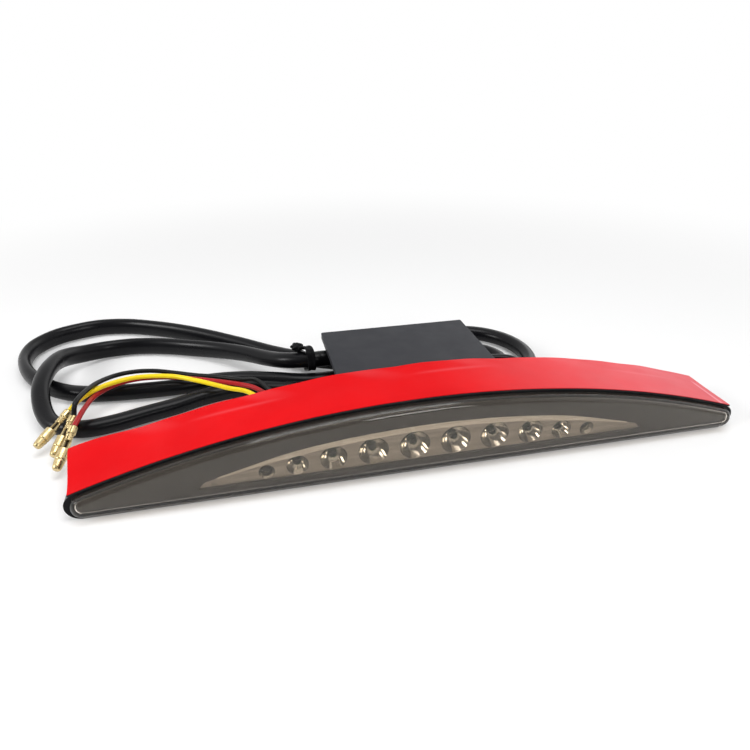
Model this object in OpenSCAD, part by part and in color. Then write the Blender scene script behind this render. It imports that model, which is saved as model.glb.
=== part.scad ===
// Arched LED tail light for a mudguard edge, with its tape, control module and folded lead.
// X runs along the lamp, the lens faces -Y and Z is up. The origin is under the middle of the lamp.

/* [Lamp body] */
// Length of the lamp from nose to nose
lamp_w = 254.6; // [240:0.2:270]
// Height of the housing at the crown of the arch
lamp_h = 30.2; // [28:0.1:34]
// Radius of the housing's round noses
nose_r = 5.1; // [4.8:0.1:6]
// Length of the lens opening from nose to nose, over its lip
face_w = 251.6; // [238:0.2:266]
// Radius of the opening's noses, over its lip
face_nose_r = 4.9; // [4.5:0.1:5.6]
// Height of the sill under the opening's lip
sill = 0.9; // [0.6:0.1:1.4]
// Depth of the housing from its rim to its back
housing_depth = 18; // [16:0.5:24]
// Thickness of the housing's back wall
back_wall = 2; // [1.5:0.1:3]
// Radius of the housing's back edges
back_round = 2; // [1:0.1:3]
// Thickness of the thin lip round the lens
rim_lip = 0.8; // [0.6:0.05:1.2]
// Depth of the step that takes the lens skirt
rim_step = 3; // [2:0.1:4]
// Thickness of the housing's side wall behind the step
side_wall = 2.4; // [2.2:0.1:3]
// Width of the inner ledge that carries the bezel
ledge_w = 2; // [1.5:0.1:3]
// Depth of that ledge behind the rim
ledge_depth = 5; // [4.5:0.1:6]

/* [Lens] */
// How far the lens stands out of the rim
lens_out = 4; // [3.6:0.1:5]
// Wall thickness of the lens
lens_wall = 1.8; // [1.4:0.1:2]
// Radius of the lens shoulder
shoulder_r = 3; // [2.2:0.1:3]
// Clearance between the lens skirt and the lip
lens_gap = 0.1; // [0.05:0.05:0.15]
// Thickness of the seal under the lens skirt
seal_t = 0.6; // [0.4:0.1:1]

/* [Bezel and reflector] */
// Depth of the bezel's front face behind the lens face
bezel_depth = 3.4; // [3:0.1:4]
// Thickness of the bezel plate
bezel_t = 1; // [0.8:0.1:1.4]
// Clearance between the bezel and the lens skirt
bezel_gap = 0.2; // [0.1:0.05:0.4]
// Height of the bezel strip under the reflector window
bezel_strip = 2.1; // [1.6:0.1:2.4]
// Length of the reflector window
window_w = 169; // [150:1:180]
// Height of the window's arched top above the lamp's base
window_top = 18.9; // [18.2:0.1:20]
// Radius of the window's arched top
window_r = 335; // [300:5:400]
// Run of the slanted window ends for each millimetre of height
window_slant = 0.9; // [0.4:0.1:1.2]
// Thickness of the reflector plate
plate_t = 1.2; // [1:0.1:1.4]
// Height of the raised ledge along the top of the reflector
top_ledge = 2; // [1:0.1:2.4]
// Step of that ledge
top_step = 0.6; // [0.3:0.1:0.9]
// Number of bowls on each side of the middle
bowls_per_side = 5; // [3:1:5]
// Diameter of the two middle bowls
bowl_mid_d = 11.5; // [9:0.1:11.6]
// Diameter of the two end bowls
bowl_end_d = 5.6; // [5:0.1:7]
// Width of the land between two bowls
bowl_land = 4; // [3:0.1:4.2]
// Depth of a bowl for each millimetre of its radius
bowl_ratio = 0.82; // [0.7:0.02:0.9]
// Thickness of the bowl walls
bowl_wall = 0.9; // [0.7:0.1:1.1]

/* [Electronics of the lamp] */
// Diameter of an LED body
led_d = 3; // [2.8:0.1:3.2]
// Clearance round an LED
led_gap = 0.2; // [0.1:0.05:0.3]
// Depth of the board's front face behind the reflector face
board_depth = 6.4; // [6:0.1:7]
// Thickness of the board
board_t = 1.6; // [1:0.1:2]
// Diameter of the posts that carry the board
post_d = 5; // [4.4:0.1:5.6]
// Diameter of the screw shanks
screw_d = 2; // [1.8:0.1:2.4]
// Diameter of the screw heads
screw_head_d = 3.8; // [3.4:0.1:4]

/* [Tape] */
// Width of the tape
tape_w = 25.5; // [20:0.5:27]
// Thickness of the foam
foam_t = 0.5; // [0.4:0.1:1.2]
// Thickness of the peel-off film
liner_t = 0.25; // [0.2:0.05:0.4]
// Distance from the tape's end to the nose, along the lamp
tape_end = 1.8; // [1:0.1:6]
// Glue line under the foam and under the film
glue = 0.04; // [0.02:0.01:0.08]

/* [Control module] */
// Length of the module's cover plate
cover_l = 68; // [62:1:70]
// Width of the cover plate
cover_w = 44; // [40:1:46]
// Thickness of the cover plate
cover_t = 3; // [2.4:0.1:4]
// How far the cover overhangs the case
cover_over = 4; // [3:0.5:5]
// Height of the case
case_h = 11.2; // [10.8:0.2:13]
// Wall thickness of the case
case_wall = 1.6; // [1.2:0.1:2]
// Corner radius of the case
case_r = 2; // [1.7:0.1:3]
// Place of the cover's middle along the lamp
module_x = 5; // [4:0.5:6]
// Place of the cover's middle behind the lamp's middle
module_y = 49.5; // [48.5:0.5:50.5]
// Height of the case's underside
module_z = 7.8; // [7.8:0.1:8.4]

/* [Leads] */
// Diameter of the sleeved supply lead
lead_d = 7.2; // [6:0.1:7.2]
// Diameter of the lamp lead
lamp_lead_d = 4; // [3.6:0.1:4.4]
// Diameter of one core
core_d = 2; // [1.6:0.1:2.1]
// Diameter of a bullet terminal
bullet_d = 4.1; // [3.8:0.1:4.2]
// Length of a bullet terminal
bullet_l = 18.5; // [17:0.5:20]
// Width of the tie's strap
strap_w = 4.4; // [3.6:0.1:4.8]
// Thickness of the tie's strap
strap_t = 1.1; // [0.9:0.1:1.3]

/* [Hidden] */
$fn = 64;
arch_fn = 720;
// Shortest overlap of a cutting tool
cut = 1;

// Depths of the lamp, counted from the front
total_depth = lens_out + tape_w;
face_y = -total_depth / 2;
rim_y = face_y + lens_out;
back_y = rim_y + housing_depth;
step_y = rim_y + rim_step;
ledge_y = rim_y + ledge_depth;
floor_y = back_y - back_wall;
bezel_y = face_y + bezel_depth;
plate_y = bezel_y + bezel_t;
board_y = plate_y + board_depth;
board_back_y = board_y + board_t;

// Outlines of the housing and of the lens opening: place, height and radius of the noses, base,
// then radius and centre height of the arch that is tangent to both noses, to a thousandth
function arch_over(x, r, h) = (pow(x, 2) + pow(h - r, 2) - pow(r, 2)) / (2 * (h - 2 * r));
function arched(w, r, base) = let (
    x = w / 2 - r,
    big = round(1000 * arch_over(x, r, lamp_h - base)) / 1000)
    [x, base + r, r, base, big, lamp_h - big];
shell = arched(lamp_w, nose_r, 0);
face = arched(face_w, face_nose_r, sill);
arch_r = shell[4];
arch_z = shell[5];
// Way from the arch's centre to a nose, drawn out past the crown
function nose_reach(o) = lamp_h * [o[0], o[1] - o[5]] / (o[4] - o[2]);
// Lap of a flat outline's noses over its arch, and how far they stand over it there
nose_lap = 1;
nose_proud = 0.01;

// Insets from the opening's outline
lens_inset = rim_lip + lens_gap;
lens_inner = lens_inset + lens_wall;
bezel_inset = lens_inner + bezel_gap;
ledge_inset = side_wall + ledge_w;

// Bowls, from the middle to the end
window_z = sill + bezel_inset + bezel_strip;
last = bowls_per_side - 1;
bowl_d = [for (i = [0:last]) bowl_end_d + (bowl_mid_d - bowl_end_d) * cos(90 * i / last)];
function bowl_x(i) = i == 0 ? (bowl_d[0] + bowl_land) / 2
    : bowl_x(i - 1) + (bowl_d[i - 1] + bowl_d[i]) / 2 + bowl_land;
bowl_margin = 0.2;
plate_margin = 0.5;
bowl_base = window_z + bowl_margin;
led_r = led_d / 2;
led_hole_r = led_r + led_gap;
led_flange_r = led_r + 2 * led_gap;
led_flange_t = 1;
led_body_l = 2.8;
bowl_steps = 6;
led_count = 2 * bowls_per_side;
function led_side(k) = k < bowls_per_side ? -1 : 1;
function led_rank(k) = k < bowls_per_side ? last - k : k - bowls_per_side;
function led_place(k) = [
    led_side(k) * bowl_x(led_rank(k)), 0, bowl_base + bowl_d[led_rank(k)] / 2];

// Board posts and screws
post_z = bowl_base + bowl_mid_d / 3;
post_x = (bowl_x(last - 2) + bowl_x(last - 1)) / 2;
post_xs = [-post_x, 0, post_x];
screw_head_t = 1.4;
screw_l = 6;
resistor_size = [3.2, 0.6, 1.6];
resistor_z = bowl_base + 2 * bowl_mid_d / 3;
resistor_xs = [-60, -30, -12, 12, 30];

// Grommet in the back wall
exit_x = 56;
exit_z = 13.5;
grommet_wall = 2;
grommet_tip_wall = 0.8;
grommet_bore_r = lamp_lead_d / 2 + grommet_wall;
grommet_inner_r = grommet_bore_r + 1;
grommet_flange_r = grommet_bore_r + 1.6;
grommet_flange_t = 1.4;
grommet_boot_l = 7;
fit_gap = 0.05;

// Tape, as angles about the arch's axis
foam_in = arch_r + glue;
foam_out = foam_in + foam_t;
liner_in = foam_out + glue;
liner_out = liner_in + liner_t;
tape_angle = asin((lamp_w / 2 - tape_end) / liner_out);

// Control module
case_x0 = module_x - cover_l / 2 + cover_over;
case_x1 = module_x + cover_l / 2 - cover_over;
case_y0 = module_y - cover_w / 2 + cover_over;
case_y1 = module_y + cover_w / 2 - cover_over;
case_top = module_z + case_h;
case_floor = module_z + case_wall;
cover_lip = 1.2;
cover_edge = 0.5;
port_z = module_z + case_h / 2;
supply_port_y = 62;
lamp_port_y = 44.5;
bush_flange = 1;
bush_t = 2;
pcb_t = 1.6;
pcb_gap = 0.4;
pcb_lift = 0.8;
pcb_top = case_floor + pcb_lift + pcb_t;
chip_size = [10, 6, 1.8];
chip_legs = 4;
chip_leg = [0.6, 1.2, 0.5];
capacitor_r = 3.1;
capacitor_h = 5.4;
capacitor_at = [-14, -6];
diode_size = [2.6, 4.4, 2];
diode_at = [11, -2];
diode_pitch = 5;
diode_count = 3;

// Lead routes, as hand-picked points in millimetres
spans = 2;
lead_sides = 8;
core_sides = 6;
gap_skip = 6;
lead_r = lead_d / 2;
lead_start = [case_x0 - bush_t, supply_port_y, port_z];
function turn(c, r, a0, a1, n) = [for (i = [0:n]) let (a = a0 + (a1 - a0) * i / n)
    [c[0] + r * cos(a), c[1] + r * sin(a), c[2]]];
inner_turn = turn([42, 59.5, 3.8], 14.4, -90, 90, 8);
outer_turn = turn([42, 66, 3.8], 29.5, 90, -90, 10);
route_inner_left = [
    lead_start, lead_start - [4, 0, 0], lead_start - [8, 0, 0],
    [-46, 66.5, 12], [-54, 74.5, 10], [-64, 85.5, 8], [-76, 96.5, 5.5], [-90, 105.5, 4],
    [-104, 111.5, 3.8], [-118, 114.5, 3.8], [-131, 113.5, 4], [-141, 107.5, 5.5], [-147, 98.5, 8.5],
    [-149, 88.5, 11], [-150, 77.5, 12], [-150, 66.5, 10.5], [-148, 56.5, 7], [-144, 48.5, 4.5],
    [-138, 43.5, 3.8], [-129, 40.5, 3.8], [-118, 42.5, 3.8], [-107, 46.5, 3.8], [-95, 50.5, 3.8],
    [-84, 55.5, 3.8], [-72, 58.5, 3.8], [-59, 57.5, 3.8], [-44, 53.5, 3.8], [-27, 49.5, 3.8],
    [-9, 47.5, 3.8], [9, 45.5, 3.8], [27, 45, 3.8]];
route_outer_left = [
    [30, 71.5, 3.8], [18, 66.5, 3.8], [4, 62.5, 3.8], [-10, 60.5, 3.8], [-24, 59.5, 3.8], [-38, 59.9, 3.8],
    [-52, 64.5, 3.8], [-66, 68.5, 3.8], [-80, 69.5, 3.8], [-95, 67.5, 3.8], [-110, 67.5, 3.8],
    [-125, 68.5, 3.8], [-138, 71.5, 3.8], [-148, 77.5, 3.8], [-157, 86.5, 3.8], [-164, 97.5, 3.8],
    [-168, 110.5, 3.8], [-167, 123.5, 3.8], [-160, 134.5, 3.8], [-150, 140.5, 3.8], [-138, 143.5, 3.8],
    [-124, 141.5, 3.8], [-110, 135.5, 3.8], [-96, 127.5, 3.8], [-82, 117.5, 3.8], [-70, 107.5, 3.8],
    [-58, 96.5, 4.2], [-47, 86.5, 5.2], [-36, 78.5, 5.8], [-24, 73.5, 5.2], [-10, 71.5, 4.2], [5, 73.5, 3.8],
    [18, 79.5, 3.8], [30, 87.5, 3.8]];
route_end = [
    [26, 36.5, 3.8], [8, 36.5, 3.8], [-10, 37.5, 3.8], [-24, 38.5, 3.8], [-38, 40.5, 3.8], [-46, 40.5, 3.8]];
supply_route = concat(route_inner_left, inner_turn, route_outer_left, outer_turn, route_end);
supply_path = spline(supply_route, spans);
lead_end = route_end[len(route_end) - 1];
lamp_lead_start = [exit_x, back_y + grommet_flange_t + grommet_boot_l, exit_z];
lamp_lead_end = [case_x1 + bush_t, lamp_port_y, port_z];
lamp_route = [
    lamp_lead_start, lamp_lead_start + [0, 4, 0], [exit_x, 26, 13.6], [55.6, 35, 13.6], [52, 42, 13.5],
    lamp_lead_end + [8, 0, 0], lamp_lead_end + [4, 0, 0], lamp_lead_end];
core_ring = 1.3;
crimp_wall = 0.6;
bullet_barrel_l = 6.5;
bullet_tip_l = 3;
bullet_nose_r = 1.5;
yellow_foot = lead_end + core_ring * [0, -0.87, -0.5];
red_foot = lead_end + core_ring * [0, 0, 1];
black_foot = lead_end + core_ring * [0, 0.87, -0.5];
yellow_crimp = [-134.5, 43.8, 10.8];
red_crimp = [-130, 29.7, 11.8];
black_crimp = [-132, 39.5, 10.5];
yellow_dir = [-10, -13, -6];
red_dir = [-5, -17, -8.2];
black_dir = [-6, -17, -7];
yellow_route = [
    yellow_foot, yellow_foot - [3, 0, 0], [-57, 42.6, 5.4], [-65, 48.8, 8], [-71.9, 50.7, 9.4],
    [-79.7, 53.7, 11], [-86.7, 57, 12], [-94.9, 61.7, 12.2], [-103.2, 64.1, 12.2],
    [-111.2, 64.6, 12.2], [-118.9, 62.4, 12.2], [-126.1, 58.4, 11.8], [-132, 51.1, 11.3],
    yellow_crimp];
red_route = [
    red_foot, red_foot - [3, 0, 0], [-55.5, 45.5, 6.4], [-61.5, 50.6, 8.4], [-67.6, 54.5, 8.8],
    [-76, 57.8, 9.4], [-84.2, 61.7, 9.4], [-94, 65.3, 9.6], [-103.9, 67.6, 9.6], [-112, 67.7, 9.6],
    [-119.8, 65.3, 9.4], [-126.4, 57.6, 9.6], [-128, 42.6, 12.4], red_crimp];
black_route = [
    black_foot, black_foot - [3, 0, 0], [-53.5, 48.5, 5.6], [-60.5, 55.4, 9.4], [-67.4, 56.7, 9.9],
    [-76.8, 61.7, 9.8], [-86.3, 65.8, 9.6], [-95.7, 70, 9.8], [-104.2, 73, 10.2],
    [-112.5, 73.9, 10.4], [-120.3, 71.4, 10.8], [-126.2, 61.2, 13.2], [-129.4, 48.9, 15.2],
    [-131, 41.6, 15], black_crimp];

// Cable tie round the two rear strands
tie_x = -36;
tie_circles = [[62.3, 13.4], [77.1, 5.9], [79.9, 5.9]];
tie_loose = 0.6;
tie_head = [6.5, 4, 3.6];
tie_head_at = [-44, 63.5, 17.2];

// Plate of a flat XZ shape between two depths
module slab(y0, y1) {
    translate([0, y1, 0]) rotate([90, 0, 0]) linear_extrude(height = y1 - y0) children();
}

// Part of the XZ plane between an outline's noses, split from them along their tangent points
module core_region(o, inset) {
    reach = nose_reach(o);
    polygon([[-o[0], o[3] + inset], [o[0], o[3] + inset], [o[0], o[1]],
        [o[0] + reach[0], o[1] + reach[1]], [-o[0] - reach[0], o[1] + reach[1]],
        [-o[0], o[1]]]);
}

// Part of the XZ plane that holds the right nose, up to the same split or a lap past it
module nose_region(o, lap) {
    reach = nose_reach(o);
    x = o[0] - lap;
    polygon([[x, -cut], [lamp_w, -cut], [lamp_w, o[1] + reach[1]],
        [x + reach[0], o[1] + reach[1]], [x, o[1]]]);
}

// Outline in the XZ plane, moved inwards
module outline(o, inset) {
    intersection() {
        translate([0, o[5]]) circle(r = o[4] - inset, $fn = arch_fn);
        if (inset < o[2]) core_region(o, inset);
        else translate([-lamp_w / 2, o[3] + inset]) square([lamp_w, lamp_h]);
    }
    if (inset < o[2]) for (s = [0, 1]) mirror([s, 0]) intersection() {
        translate([o[0], o[1]]) circle(r = o[2] - inset + nose_proud);
        nose_region(o, nose_lap);
    }
}

// Half section of a body with a rounded front edge: reach outwards, depth forwards
module edge_section(reach, y_front, y_back, round) {
    translate([0, -y_back]) square([reach - round, y_back - y_front]);
    translate([0, -y_back]) square([reach, y_back - y_front - round]);
    translate([reach - round, -y_front - round]) intersection() {
        circle(r = round);
        square(round);
    }
}

// Body of an outline with a rounded front edge: a revolved arch, two revolved noses, a straight base
module rounded_body(o, inset, y_front, y_back, round) {
    intersection() {
        translate([0, 0, o[5]]) rotate([90, 0, 0]) rotate_extrude($fn = arch_fn)
            edge_section(o[4] - inset, y_front, y_back, round);
        translate([lamp_w / 2, 0, lamp_h]) rotate([180, 90, 0]) linear_extrude(height = lamp_w)
            edge_section(lamp_h - o[3] - inset, y_front, y_back, round);
        slab(y_front - cut, y_back + cut) core_region(o, 0);
    }
    for (s = [0, 1]) mirror([s, 0, 0]) intersection() {
        translate([o[0], 0, o[1]]) rotate([90, 0, 0]) rotate_extrude()
            edge_section(o[2] - inset, y_front, y_back, round);
        slab(y_front - cut, y_back + cut) nose_region(o, 0);
    }
}

// Reflector window in the XZ plane, grown by a margin
module window(grow) {
    half = window_w / 2 + grow;
    rise = lamp_h - window_z;
    intersection() {
        translate([0, window_top - window_r]) circle(r = window_r + grow, $fn = arch_fn);
        translate([0, window_z - grow]) polygon([[-half, 0], [half, 0],
            [half - window_slant * rise, rise], [window_slant * rise - half, rise]]);
    }
}

// Cylinder along the depth of the lamp
module rod(r, y0, y1) {
    translate([0, y1, 0]) rotate([90, 0, 0]) cylinder(r = r, h = y1 - y0);
}

// Solid inside of a bowl, down to its LED hole: a paraboloid in steps
module bowl_form(d, wall) {
    r = d / 2;
    depth = bowl_ratio * r;
    hole = led_hole_r;
    points = [for (i = [0:bowl_steps]) let (t = i / bowl_steps)
        [sqrt(pow(hole, 2) + (pow(r, 2) - pow(hole, 2)) * t) + wall, depth * (t - 1)]];
    translate([0, plate_y, 0]) rotate([90, 0, 0]) rotate_extrude()
        polygon(concat([[0, -depth]], points, [[0, 0]]));
}

// Rectangle with true round corners
module round_rect(x0, y0, x1, y1, r) {
    translate([x0 + r, y0]) square([x1 - x0 - 2 * r, y1 - y0]);
    translate([x0, y0 + r]) square([x1 - x0, y1 - y0 - 2 * r]);
    for (x = [x0 + r, x1 - r]) for (y = [y0 + r, y1 - r]) translate([x, y]) circle(r = r);
}

function unit(v) = v / norm(v);

// Catmull-Rom curve through a route, with a number of steps in each span
function spline(p, steps) = let (n = len(p)) concat(
    [for (i = [0:n - 2]) for (j = [0:steps - 1]) let (
        t = j / steps,
        a = i == 0 ? 2 * p[0] - p[1] : p[i - 1],
        b = p[i],
        c = p[i + 1],
        d = i == n - 2 ? 2 * p[n - 1] - p[n - 2] : p[i + 2])
        0.5 * (2 * b + (c - a) * t + (2 * a - 5 * b + 4 * c - d) * t * t
            + (3 * b - a - 3 * c + d) * t * t * t)],
    [p[n - 1]]);

// Ring of a tube, square to its path
function ring(p, i, r, sides) = let (
    n = len(p),
    along = unit(p[min(i + 1, n - 1)] - p[max(i - 1, 0)]),
    across = unit(cross(along, [0, 0, 1])),
    above = cross(across, along))
    [for (k = [0:sides - 1]) let (a = 360 * (k + 0.5) / sides)
        p[i] + r / cos(180 / sides) * (cos(a) * across + sin(a) * above)];

// Closed tube swept along a path
module tube(p, r, sides) {
    n = len(p);
    points = [for (i = [0:n - 1]) each ring(p, i, r, sides)];
    walls = [for (i = [0:n - 2]) for (k = [0:sides - 1]) let (
        a = i * sides + k,
        b = i * sides + (k + 1) % sides) each [[a, b, b + sides], [a, b + sides, a + sides]]];
    first = [for (k = [1:sides - 2]) [0, k + 1, k]];
    final = [for (k = [1:sides - 2]) let (o = (n - 1) * sides) [o, o + k, o + k + 1]];
    polyhedron(points = points, faces = concat(walls, first, final), convexity = 10);
}

function path_length(p) = [for (i = [1:len(p) - 1]) norm(p[i] - p[i - 1])] * [for (i = [1:len(p) - 1]) 1];

// Least gap of a tube to itself, between points further apart along it than a few diameters
function self_gap(p, d, skip) = min([for (i = [0:len(p) - 1 - skip])
    min([for (j = [i + skip:len(p) - 1]) norm(p[i] - p[j])])]) - d;

echo(lead_length = path_length(supply_path), least_gap = self_gap(supply_path, lead_d, gap_skip));
echo(core_lengths = [for (p = [yellow_route, red_route, black_route, lamp_route])
    path_length(spline(p, spans))]);

module housing() {
    color("#17181a") difference() {
        union() {
            difference() {
                mirror([0, 1, 0]) rounded_body(shell, 0, -back_y, -rim_y, back_round);
                slab(rim_y - cut, step_y) outline(face, rim_lip);
                slab(rim_y - cut, ledge_y) outline(face, side_wall);
                slab(rim_y - cut, floor_y) outline(face, ledge_inset);
            }
            for (x = post_xs) translate([x, 0, post_z])
                rod(post_d / 2, board_back_y, floor_y + back_wall / 2);
        }
        for (x = post_xs) translate([x, 0, post_z]) rod(screw_d / 2, board_back_y - cut, floor_y);
        translate([exit_x, 0, exit_z]) rod(grommet_bore_r + fit_gap, floor_y - cut, back_y + cut);
    }
}

module lens() {
    color("#4a4540", 0.6) difference() {
        rounded_body(face, lens_inset, face_y, step_y - seal_t, shoulder_r);
        rounded_body(face, lens_inner, face_y + lens_wall, step_y - seal_t + cut, shoulder_r - lens_wall);
    }
}

module lens_seal() {
    color("#0c0c0d") slab(step_y - seal_t, step_y) difference() {
        outline(face, lens_inset);
        outline(face, side_wall);
    }
}

module bezel() {
    skirt_z = face[1] + bezel_gap;
    color("#3a3a3b") {
        slab(bezel_y, plate_y) difference() {
            outline(face, bezel_inset);
            window(0);
        }
        difference() {
            slab(plate_y, ledge_y) difference() {
                outline(face, bezel_inset);
                outline(face, ledge_inset);
            }
            translate([-lamp_w / 2, plate_y - cut, 0]) cube([lamp_w, ledge_y - plate_y + 2 * cut, skirt_z]);
        }
    }
}

module reflector() {
    color("#c9c2b6") difference() {
        union() {
            slab(plate_y, plate_y + plate_t) window(plate_margin);
            slab(plate_y - top_step, plate_y) difference() {
                window(-fit_gap);
                translate([0, -top_ledge]) window(0);
            }
            intersection() {
                for (k = [0:led_count - 1]) translate(led_place(k))
                    bowl_form(bowl_d[led_rank(k)], bowl_wall);
                slab(plate_y, board_y) window(plate_margin);
            }
        }
        for (k = [0:led_count - 1]) translate(led_place(k)) {
            bowl_form(bowl_d[led_rank(k)], 0);
            rod(led_hole_r, plate_y - cut, board_y);
        }
    }
}

module circuit_board() {
    color("#2d5a38") slab(board_y, board_back_y) difference() {
        intersection() {
            window(-fit_gap);
            outline(face, ledge_inset + bezel_gap);
        }
        for (x = post_xs) translate([x, post_z]) circle(d = screw_d + led_gap);
    }
}

module led(k) {
    y_flange = board_y - led_flange_t;
    y_dome = y_flange - led_body_l;
    color("#e8ecef") translate(led_place(k)) rotate([90, 0, 0]) rotate_extrude() {
        translate([0, -board_y]) square([led_flange_r, led_flange_t]);
        translate([0, -y_flange]) square([led_r, led_body_l]);
        translate([0, -y_dome]) intersection() {
            circle(r = led_r);
            square(led_d);
        }
    }
}

module resistors() {
    color("#1b1b1b") for (x = resistor_xs)
        translate([x - resistor_size[0] / 2, board_back_y, resistor_z - resistor_size[2] / 2])
            cube(resistor_size);
}

module board_screws() {
    color("#b9bcc0") for (x = post_xs) translate([x, 0, post_z]) {
        rod(screw_head_d / 2, board_y - screw_head_t, board_y);
        rod(screw_d / 2 - fit_gap, board_y - fit_gap, board_y + screw_l);
    }
}

// Band of the tape, bent round the arch
module arch_band(r_in, r_out) {
    translate([0, 0, arch_z]) rotate([90, 0, 0]) rotate([0, 0, 90 - tape_angle])
        rotate_extrude(angle = 2 * tape_angle, $fn = arch_fn)
            translate([r_in, -rim_y - tape_w]) square([r_out - r_in, tape_w]);
}

module tape_foam() {
    color("#303234") arch_band(foam_in, foam_out);
}

module tape_liner() {
    color("#e02a2e") arch_band(liner_in, liner_out);
}

module cable_grommet() {
    tip_r = lamp_lead_d / 2 + grommet_tip_wall;
    inside = grommet_flange_t - floor_y;
    outside = -back_y - grommet_flange_t;
    color("#101011") translate([exit_x, 0, exit_z]) rotate([90, 0, 0]) rotate_extrude() polygon([
        [0, inside], [grommet_inner_r, inside], [grommet_inner_r, -floor_y],
        [grommet_bore_r, -floor_y], [grommet_bore_r, -back_y], [grommet_flange_r, -back_y],
        [grommet_flange_r, outside], [grommet_bore_r, outside],
        [tip_r, outside - grommet_boot_l], [0, outside - grommet_boot_l]]);
}

module lamp_lead() {
    color("#0f0f10") tube(spline(lamp_route, spans), lamp_lead_d / 2, lead_sides);
}

module module_case() {
    color("#1c1d1f") difference() {
        translate([0, 0, module_z]) linear_extrude(height = case_h)
            round_rect(case_x0, case_y0, case_x1, case_y1, case_r);
        translate([0, 0, case_floor]) linear_extrude(height = case_h)
            round_rect(case_x0 + case_wall, case_y0 + case_wall, case_x1 - case_wall,
                case_y1 - case_wall, case_r / 2);
        translate([case_x0 - cut, supply_port_y, port_z]) rotate([0, 90, 0])
            cylinder(r = lead_r + fit_gap, h = case_wall + 2 * cut);
        translate([case_x1 - case_wall - cut, lamp_port_y, port_z]) rotate([0, 90, 0])
            cylinder(r = lamp_lead_d / 2 + bush_flange + fit_gap, h = case_wall + 2 * cut);
    }
}

module module_cover() {
    lip = case_wall + fit_gap;
    color("#2b2c2f") {
        translate([0, 0, case_top]) linear_extrude(height = cover_t) round_rect(
            case_x0 - cover_over, case_y0 - cover_over, case_x1 + cover_over, case_y1 + cover_over,
            cover_edge);
        translate([0, 0, case_top - cover_lip]) linear_extrude(height = cover_lip) difference() {
            round_rect(case_x0 + lip, case_y0 + lip, case_x1 - lip, case_y1 - lip, case_r / 2);
            round_rect(case_x0 + 2 * lip, case_y0 + 2 * lip, case_x1 - 2 * lip, case_y1 - 2 * lip,
                case_r / 2);
        }
    }
}

module module_board() {
    edge = case_wall + pcb_gap;
    color("#2d5a38") {
        translate([case_x0 + edge, case_y0 + edge, case_floor + pcb_lift])
            cube([case_x1 - case_x0 - 2 * edge, case_y1 - case_y0 - 2 * edge, pcb_t]);
        for (x = [case_x0 + 2 * case_r, case_x1 - 2 * case_r])
            translate([x, module_y, case_floor]) cylinder(d = screw_d, h = pcb_lift);
    }
}

module module_chip() {
    pitch = chip_size[0] / chip_legs;
    color("#131313") translate([module_x, module_y, pcb_top]) {
        translate([-chip_size[0] / 2, -chip_size[1] / 2, 0]) cube(chip_size);
        for (s = [0, 1]) mirror([0, s, 0]) for (i = [0:chip_legs - 1])
            translate([(i + 0.5) * pitch - (chip_size[0] + chip_leg[0]) / 2, chip_size[1] / 2, 0])
                cube(chip_leg);
    }
}

module module_capacitor() {
    color("#22305a") translate([module_x + capacitor_at[0], module_y + capacitor_at[1], pcb_top])
        cylinder(r = capacitor_r, h = capacitor_h);
}

module module_diodes() {
    color("#161616") for (i = [0:diode_count - 1])
        translate([module_x + diode_at[0] + diode_pitch * i, module_y + diode_at[1], pcb_top])
            cube(diode_size);
}

// Bush in an end wall of the case, with a flange outside
module bush(r, flange_r) {
    cylinder(r = r, h = case_wall);
    translate([0, 0, case_wall]) cylinder(r = flange_r, h = bush_t);
}

module lamp_grommet() {
    color("#101011") translate([case_x1 - case_wall, lamp_port_y, port_z]) rotate([0, 90, 0])
        bush(lamp_lead_d / 2 + bush_flange, lamp_lead_d / 2 + 2 * bush_flange);
}

module supply_grommet() {
    color("#101011") translate([case_x0 + case_wall, supply_port_y, port_z]) rotate([0, -90, 0])
        bush(lead_r, lead_r + bush_flange);
}

module supply_lead() {
    color("#0f0f10") tube(supply_path, lead_r, lead_sides);
}

module wire(route, tint) {
    color(tint) tube(spline(route, spans), core_d / 2, core_sides);
}

module wire_yellow() {
    wire(yellow_route, "#f4c400");
}

module wire_red() {
    wire(red_route, "#c4161c");
}

module wire_black() {
    wire(black_route, "#121212");
}

// Bullet terminal: sheath crimp, core crimp, neck, barrel and round tip
module bullet(place, dir) {
    r = bullet_d / 2;
    sheath_r = core_d / 2 + crimp_wall;
    neck_r = core_d / 2 + crimp_wall / 2;
    crimp_l = bullet_l - bullet_barrel_l - bullet_tip_l;
    barrel_end = bullet_l - bullet_tip_l;
    d = unit(dir);
    color("#c9a24a") translate(place) rotate([0, acos(d[2]), atan2(d[1], d[0])]) rotate_extrude() {
        square([sheath_r, crimp_l / 3]);
        translate([0, crimp_l / 3]) square([neck_r, crimp_l / 2]);
        polygon([[0, 5 * crimp_l / 6], [neck_r, 5 * crimp_l / 6], [r, crimp_l], [r, barrel_end],
            [bullet_nose_r, bullet_l], [0, bullet_l]]);
    }
}

module terminal_yellow() {
    bullet(yellow_crimp, yellow_dir);
}

module terminal_red() {
    bullet(red_crimp, red_dir);
}

module terminal_black() {
    bullet(black_crimp, black_dir);
}

// Outline of the tie's loop, looking along the lamp
module tie_loop(grow) {
    hull() for (c = tie_circles) translate(c) circle(r = lead_r + tie_loose + grow, $fn = 32);
}

module cable_tie() {
    color("#0b0b0c") {
        translate([tie_x - strap_w / 2, 0, 0]) rotate([90, 0, 90]) linear_extrude(height = strap_w)
            difference() {
                tie_loop(strap_t);
                tie_loop(0);
            }
        translate(tie_head_at) cube(tie_head);
    }
}

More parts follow.
